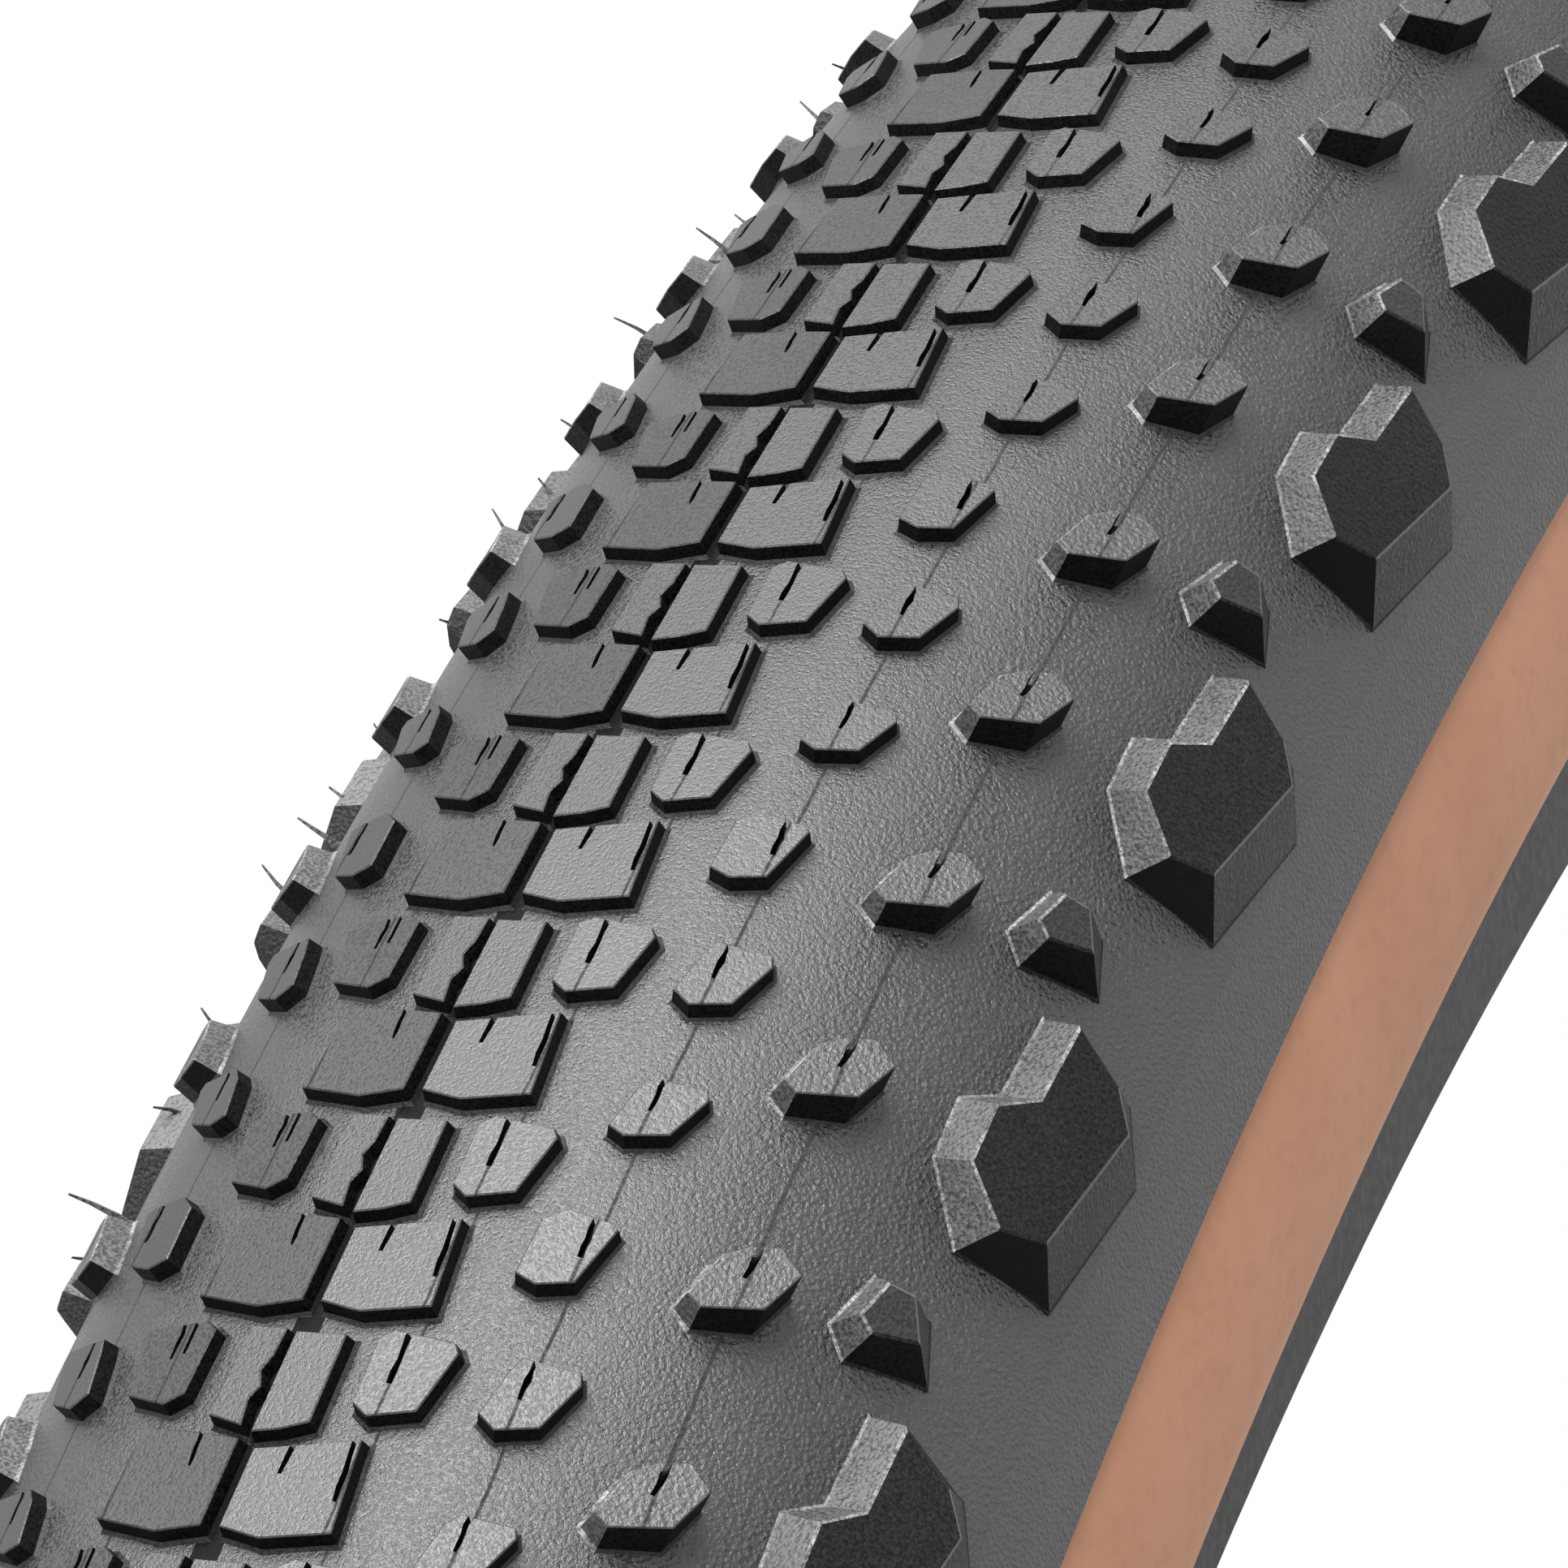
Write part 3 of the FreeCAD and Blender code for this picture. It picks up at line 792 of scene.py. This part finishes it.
def transition_unit(work, left):
    for outline, slits in zip(TRANSITIONS, TRANSITION_SLITS):
        add_knob(work, outline, TRANSITION_HEIGHT, slits=slits, left=left)
    for along in OUTER_PLACES:
        add_knob(
            work, OUTERS[left], OUTER_HEIGHTS[left], OUTER_DRAFT, OUTER_FOOT, slits=OUTER_SLITS,
            along=along, left=left, kind=outer_kind(left), tilt=OUTER_TILTS[left])


def shoulder_unit(work, left):
    add_shoulder_knob(work, LARGE_TOP, LARGE_FOOT, LARGE_HEIGHT, left)
    add_shoulder_knob(work, SMALL_TOP, SMALL_FOOT, SMALL_HEIGHT, left)


for side, left in (("right", False), ("left", True)):
    top = LEFT_KNOB_SHADE_RUBBER if left else KNOB_RUBBER
    flank = LEFT_FLANK_LIT_RUBBER if left else FLANK_LIT_RUBBER
    blocks = repeat(
        f"centre_knobs_{side}", knob_unit("pitch", centre_pitch, left), PITCHES, top=top)
    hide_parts(f"centre_blocks_{side}")
    outers = repeat(
        f"transition_knobs_{side}", knob_unit("unit", transition_unit, left), top=top,
        flank=flank)
    edges = repeat(
        f"shoulder_blocks_{side}", knob_unit("shoulder", shoulder_unit, left),
        top=SHOULDER_SHADE_RUBBER, flank=flank)
    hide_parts(f"shoulder_knobs_{side}")
    for piece in (blocks, outers, edges):
        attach(piece, "root")
split_knobs = repeat("split_knobs", knob_unit("splits", split_pitch), PITCHES)
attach(split_knobs, "root")

HAIRS = ((0.35, 24.0), (1.05, 26.0), (1.5, 25.0), (2.0, 23.5))    # along and across, each unit
HAIR_SHARES = (0.75, 0.02)  # of the left and the right vents that kept their hair
HAIR_REACH = 24.1           # no hair goes further across than the flanks do
HAIR_SEED = 7
HAIR_JITTER = 0.15
HAIR_LENGTH = (2.0, 3.6)
HAIR_SWAY = 0.4             # along the tread, as a share of the length
HAIR_LEAN = (0.5, 1.1)      # outwards
HAIR_DROOP = 0.2
HAIR_THICK = 0.25
HAIR_TAPER = 0.75
HAIR_JOINTS = 3


def add_hair(work, chance, side, along):
    """A thin rubber thread left by a vent of the mould."""
    across, radius = at_side(side, -SHOULDER_ROOT)
    outward = math.copysign(1.0, side)
    angle = along * PITCH_ANGLE
    up = Vector((math.sin(angle), 0.0, math.cos(angle)))
    on = Vector((math.cos(angle), 0.0, -math.sin(angle)))
    over = up - Vector((0, outward, 0))
    length = chance.uniform(*HAIR_LENGTH)
    sway = chance.uniform(-HAIR_SWAY, HAIR_SWAY)
    lean = chance.uniform(*HAIR_LEAN)
    rows = []
    for step in range(HAIR_JOINTS + 1):
        share = step / HAIR_JOINTS
        y = outward * min(abs(across) + lean * length * share, HAIR_REACH)
        rise = radius + length * share * (1.0 - HAIR_DROOP * share)
        middle = up * rise + on * (sway * length * share ** 2) + Vector((0, y, 0))
        thick = HAIR_THICK * (1.0 - HAIR_TAPER * share)
        rows.append([
            work.verts.new((middle + a * thick * on + b * thick * over) * MM)
            for a, b in ((1, 0), (0, 0.7), (-1, 0), (0, -0.7))
        ])
    for low, high in zip(rows, rows[1:]):
        for k in range(4):
            n = (k + 1) % 4
            work.faces.new((low[k], low[n], high[n], high[k]))
    work.faces.new(rows[0][::-1])
    work.faces.new(rows[-1])


hair_work = bmesh.new()
hair_chance = random.Random(HAIR_SEED)
for unit in range(UNITS):
    for outward in (-1, 1):
        for along, side in HAIRS:
            if hair_chance.random() < HAIR_SHARES[outward > 0]:
                place = 2 * unit + along + hair_chance.uniform(-HAIR_JITTER, HAIR_JITTER)
                add_hair(
                    hair_work, hair_chance, outward * side, place + PATTERN_START / PITCH_ANGLE)
hairs = new_object("vent_hairs", as_mesh(hair_work, "vent_hairs"), [HAIR_RUBBER])
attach(hairs, "root")

# ---------------------------------------------------------------- the casing and the beads
BEAD_SEAT = 311.0
FLANK_FOOT = 318.5          # where the flank leaves the bead
BEAD_FACE = 12.0
BEAD_TOE = 7.5
BEAD_HEIGHT = 5.0
STRIP = 0.5
STRIP_TOP = 317.5
SIDE_RADIUS = 9.5
SIDE_STEPS = 14
WALL_STEPS = 40
wall_centre, wall_radius, _, wall_end = SECTION[-1]
side_centre = wall_centre + (wall_radius - TREAD_THICKNESS - SIDE_RADIUS) * Vector(
    (math.sin(wall_end), math.cos(wall_end)))
to_foot = Vector((BEAD_FACE, FLANK_FOOT)) - side_centre
flank_turn = math.atan2(to_foot.x, to_foot.y) + 2 * math.pi * (to_foot.x < 0) - math.acos(
    SIDE_RADIUS / to_foot.length)


def side_arc(radius, start, end):
    """The side curve that turns the wall in to the flank, as (across, radius) points."""
    points = []
    for step in range(SIDE_STEPS + 1):
        turn = start + (end - start) * step / SIDE_STEPS
        point = side_centre + radius * Vector((math.sin(turn), math.cos(turn)))
        points.append((point.x, point.y))
    return points


def left_side(points):
    """The same points on the left, in the order that goes on round the section."""
    return [(-y, r) for y, r in reversed(points)]


plies_bottom = TREAD_THICKNESS + CASING_THICKNESS
inwards = -CASING_THICKNESS * Vector((math.sin(flank_turn), math.cos(flank_turn)))
outer_wall = arc(TREAD_THICKNESS, 0.0, WALL_END, WALL_STEPS)[1:]
outer_wall += side_arc(SIDE_RADIUS, wall_end, flank_turn)[1:]
bead = [
    (BEAD_FACE, FLANK_FOOT), (BEAD_FACE, BEAD_SEAT + STRIP), (BEAD_TOE, BEAD_SEAT + STRIP),
    (BEAD_TOE, BEAD_SEAT + BEAD_HEIGHT), (BEAD_FACE + inwards.x, FLANK_FOOT + inwards.y),
]
inner_wall = side_arc(SIDE_RADIUS - CASING_THICKNESS, flank_turn, wall_end)
inner_wall += arc(plies_bottom, WALL_END, 0.0, WALL_STEPS)[1:-1]
half = outer_wall + bead + inner_wall
casing_section = [at_angle(0.0, TREAD_THICKNESS)] + half
casing_section += [at_angle(0.0, plies_bottom)] + left_side(half)
lining_from = 1 + len(outer_wall) + 3       # the bead's toe
lining_to = 2 * (1 + len(half)) - lining_from
casing = ring(
    "casing_cloth", casing_section, [TAN, LINING],
    lambda k: int(lining_from <= k < lining_to),
)
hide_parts("casing")
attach(casing, "root")
strip_section = [
    (BEAD_FACE, STRIP_TOP), (BEAD_FACE + STRIP, STRIP_TOP), (BEAD_FACE + STRIP, BEAD_SEAT),
    (BEAD_TOE, BEAD_SEAT), (BEAD_TOE, BEAD_SEAT + STRIP), (BEAD_FACE, BEAD_SEAT + STRIP),
]
for side, section in (("right", strip_section), ("left", left_side(strip_section))):
    strip = ring(f"bead_strip_{side}", section, [STRIP_RUBBER])
    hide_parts(f"seat_strip_{side}")
    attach(strip, "root")
    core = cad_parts[f"bead_core_{side}"].data
    core.materials.clear()
    core.materials.append(FIBRE)

# ---------------------------------------------------------------- floor, light, camera
FLOOR_REACH = 2.2           # metres from its middle to each edge
PAPER_DARK, PAPER_LIGHT = 0.80, 0.84
DAYLIGHT = 0.5              # the world's strength on the tyre; what the camera sees is 1
LAMP_PLACE = (0.76, -0.07, 0.95)
LAMP_AIM = (0.27, 0.0, 0.25)
LAMP_SIDE = 0.85
LAMP_POWER = 17.0
CAMERA_PLACE = (540.447, 165.648, 231.348)              # millimetres
CAMERA_RIGHT = (-0.49525204, 0.867945, 0.03737501)
CAMERA_AHEAD = (-0.86669126, -0.4965809, 0.04747288)
LENS = 165.07
SENSOR = 36.0

floor_mesh = bpy.data.meshes.new("floor")
corners = ((-1, -1), (1, -1), (1, 1), (-1, 1))
floor_mesh.from_pydata(
    [(x * FLOOR_REACH, y * FLOOR_REACH, 0) for x, y in corners], [], [(0, 1, 2, 3)])
floor = bpy.data.objects.new("floor", floor_mesh)
floor.location.z = FLOOR_LEVEL * MM
bpy.context.scene.collection.objects.link(floor)
paper = Sheet("floor_paper")
paper_grain = paper.noise(paper.place(), 30.0, 3.0)
floor_mesh.materials.append(paper.finish(
    Base_Color=paper.mix(
        paper_grain, colour(PAPER_DARK, PAPER_DARK, PAPER_DARK),
        colour(PAPER_LIGHT, PAPER_LIGHT, PAPER_LIGHT)),
    Roughness=0.9,
))

world = bpy.data.worlds.new("studio")
bpy.context.scene.world = world
world.use_nodes = True
sky = world.node_tree
sky.nodes.clear()
path = sky.nodes.new("ShaderNodeLightPath")
seen = path.outputs["Is Camera Ray"]
for ray in ("Is Glossy Ray", "Is Transmission Ray"):
    either = sky.nodes.new("ShaderNodeMath")
    either.operation = "MAXIMUM"
    sky.links.new(seen, either.inputs[0])
    sky.links.new(path.outputs[ray], either.inputs[1])
    seen = either.outputs[0]
strength = sky.nodes.new("ShaderNodeMapRange")
strength.inputs["To Min"].default_value = DAYLIGHT
strength.inputs["To Max"].default_value = 1.0
sky.links.new(seen, strength.inputs["Value"])
back = sky.nodes.new("ShaderNodeBackground")
back.inputs["Color"].default_value = colour(1.0, 1.0, 1.0)
sky.links.new(strength.outputs[0], back.inputs["Strength"])
sky_out = sky.nodes.new("ShaderNodeOutputWorld")
sky.links.new(back.outputs[0], sky_out.inputs["Surface"])

lamp = bpy.data.lights.new("overhead_softbox", "AREA")
lamp.shape = "RECTANGLE"
lamp.size = lamp.size_y = LAMP_SIDE
lamp.energy = LAMP_POWER
softbox = bpy.data.objects.new("overhead_softbox", lamp)
softbox.location = LAMP_PLACE
softbox.rotation_euler = (
    (Vector(LAMP_AIM) - Vector(LAMP_PLACE)).to_track_quat("-Z", "Y").to_euler())
bpy.context.scene.collection.objects.link(softbox)

eye = bpy.data.cameras.new("camera")
eye.sensor_fit = "HORIZONTAL"
eye.sensor_width = SENSOR
eye.lens = LENS
eye.clip_start = 0.01
camera = bpy.data.objects.new("camera", eye)
ahead = Vector(CAMERA_AHEAD).normalized()
to_right = Vector(CAMERA_RIGHT)
to_right = (to_right - ahead * to_right.dot(ahead)).normalized()
turned = Matrix((to_right, to_right.cross(ahead), -ahead)).transposed().to_4x4()
camera.matrix_world = Matrix.Translation(Vector(CAMERA_PLACE) * MM) @ turned
bpy.context.scene.collection.objects.link(camera)
bpy.context.scene.camera = camera
bpy.context.scene.view_settings.view_transform = "Standard"
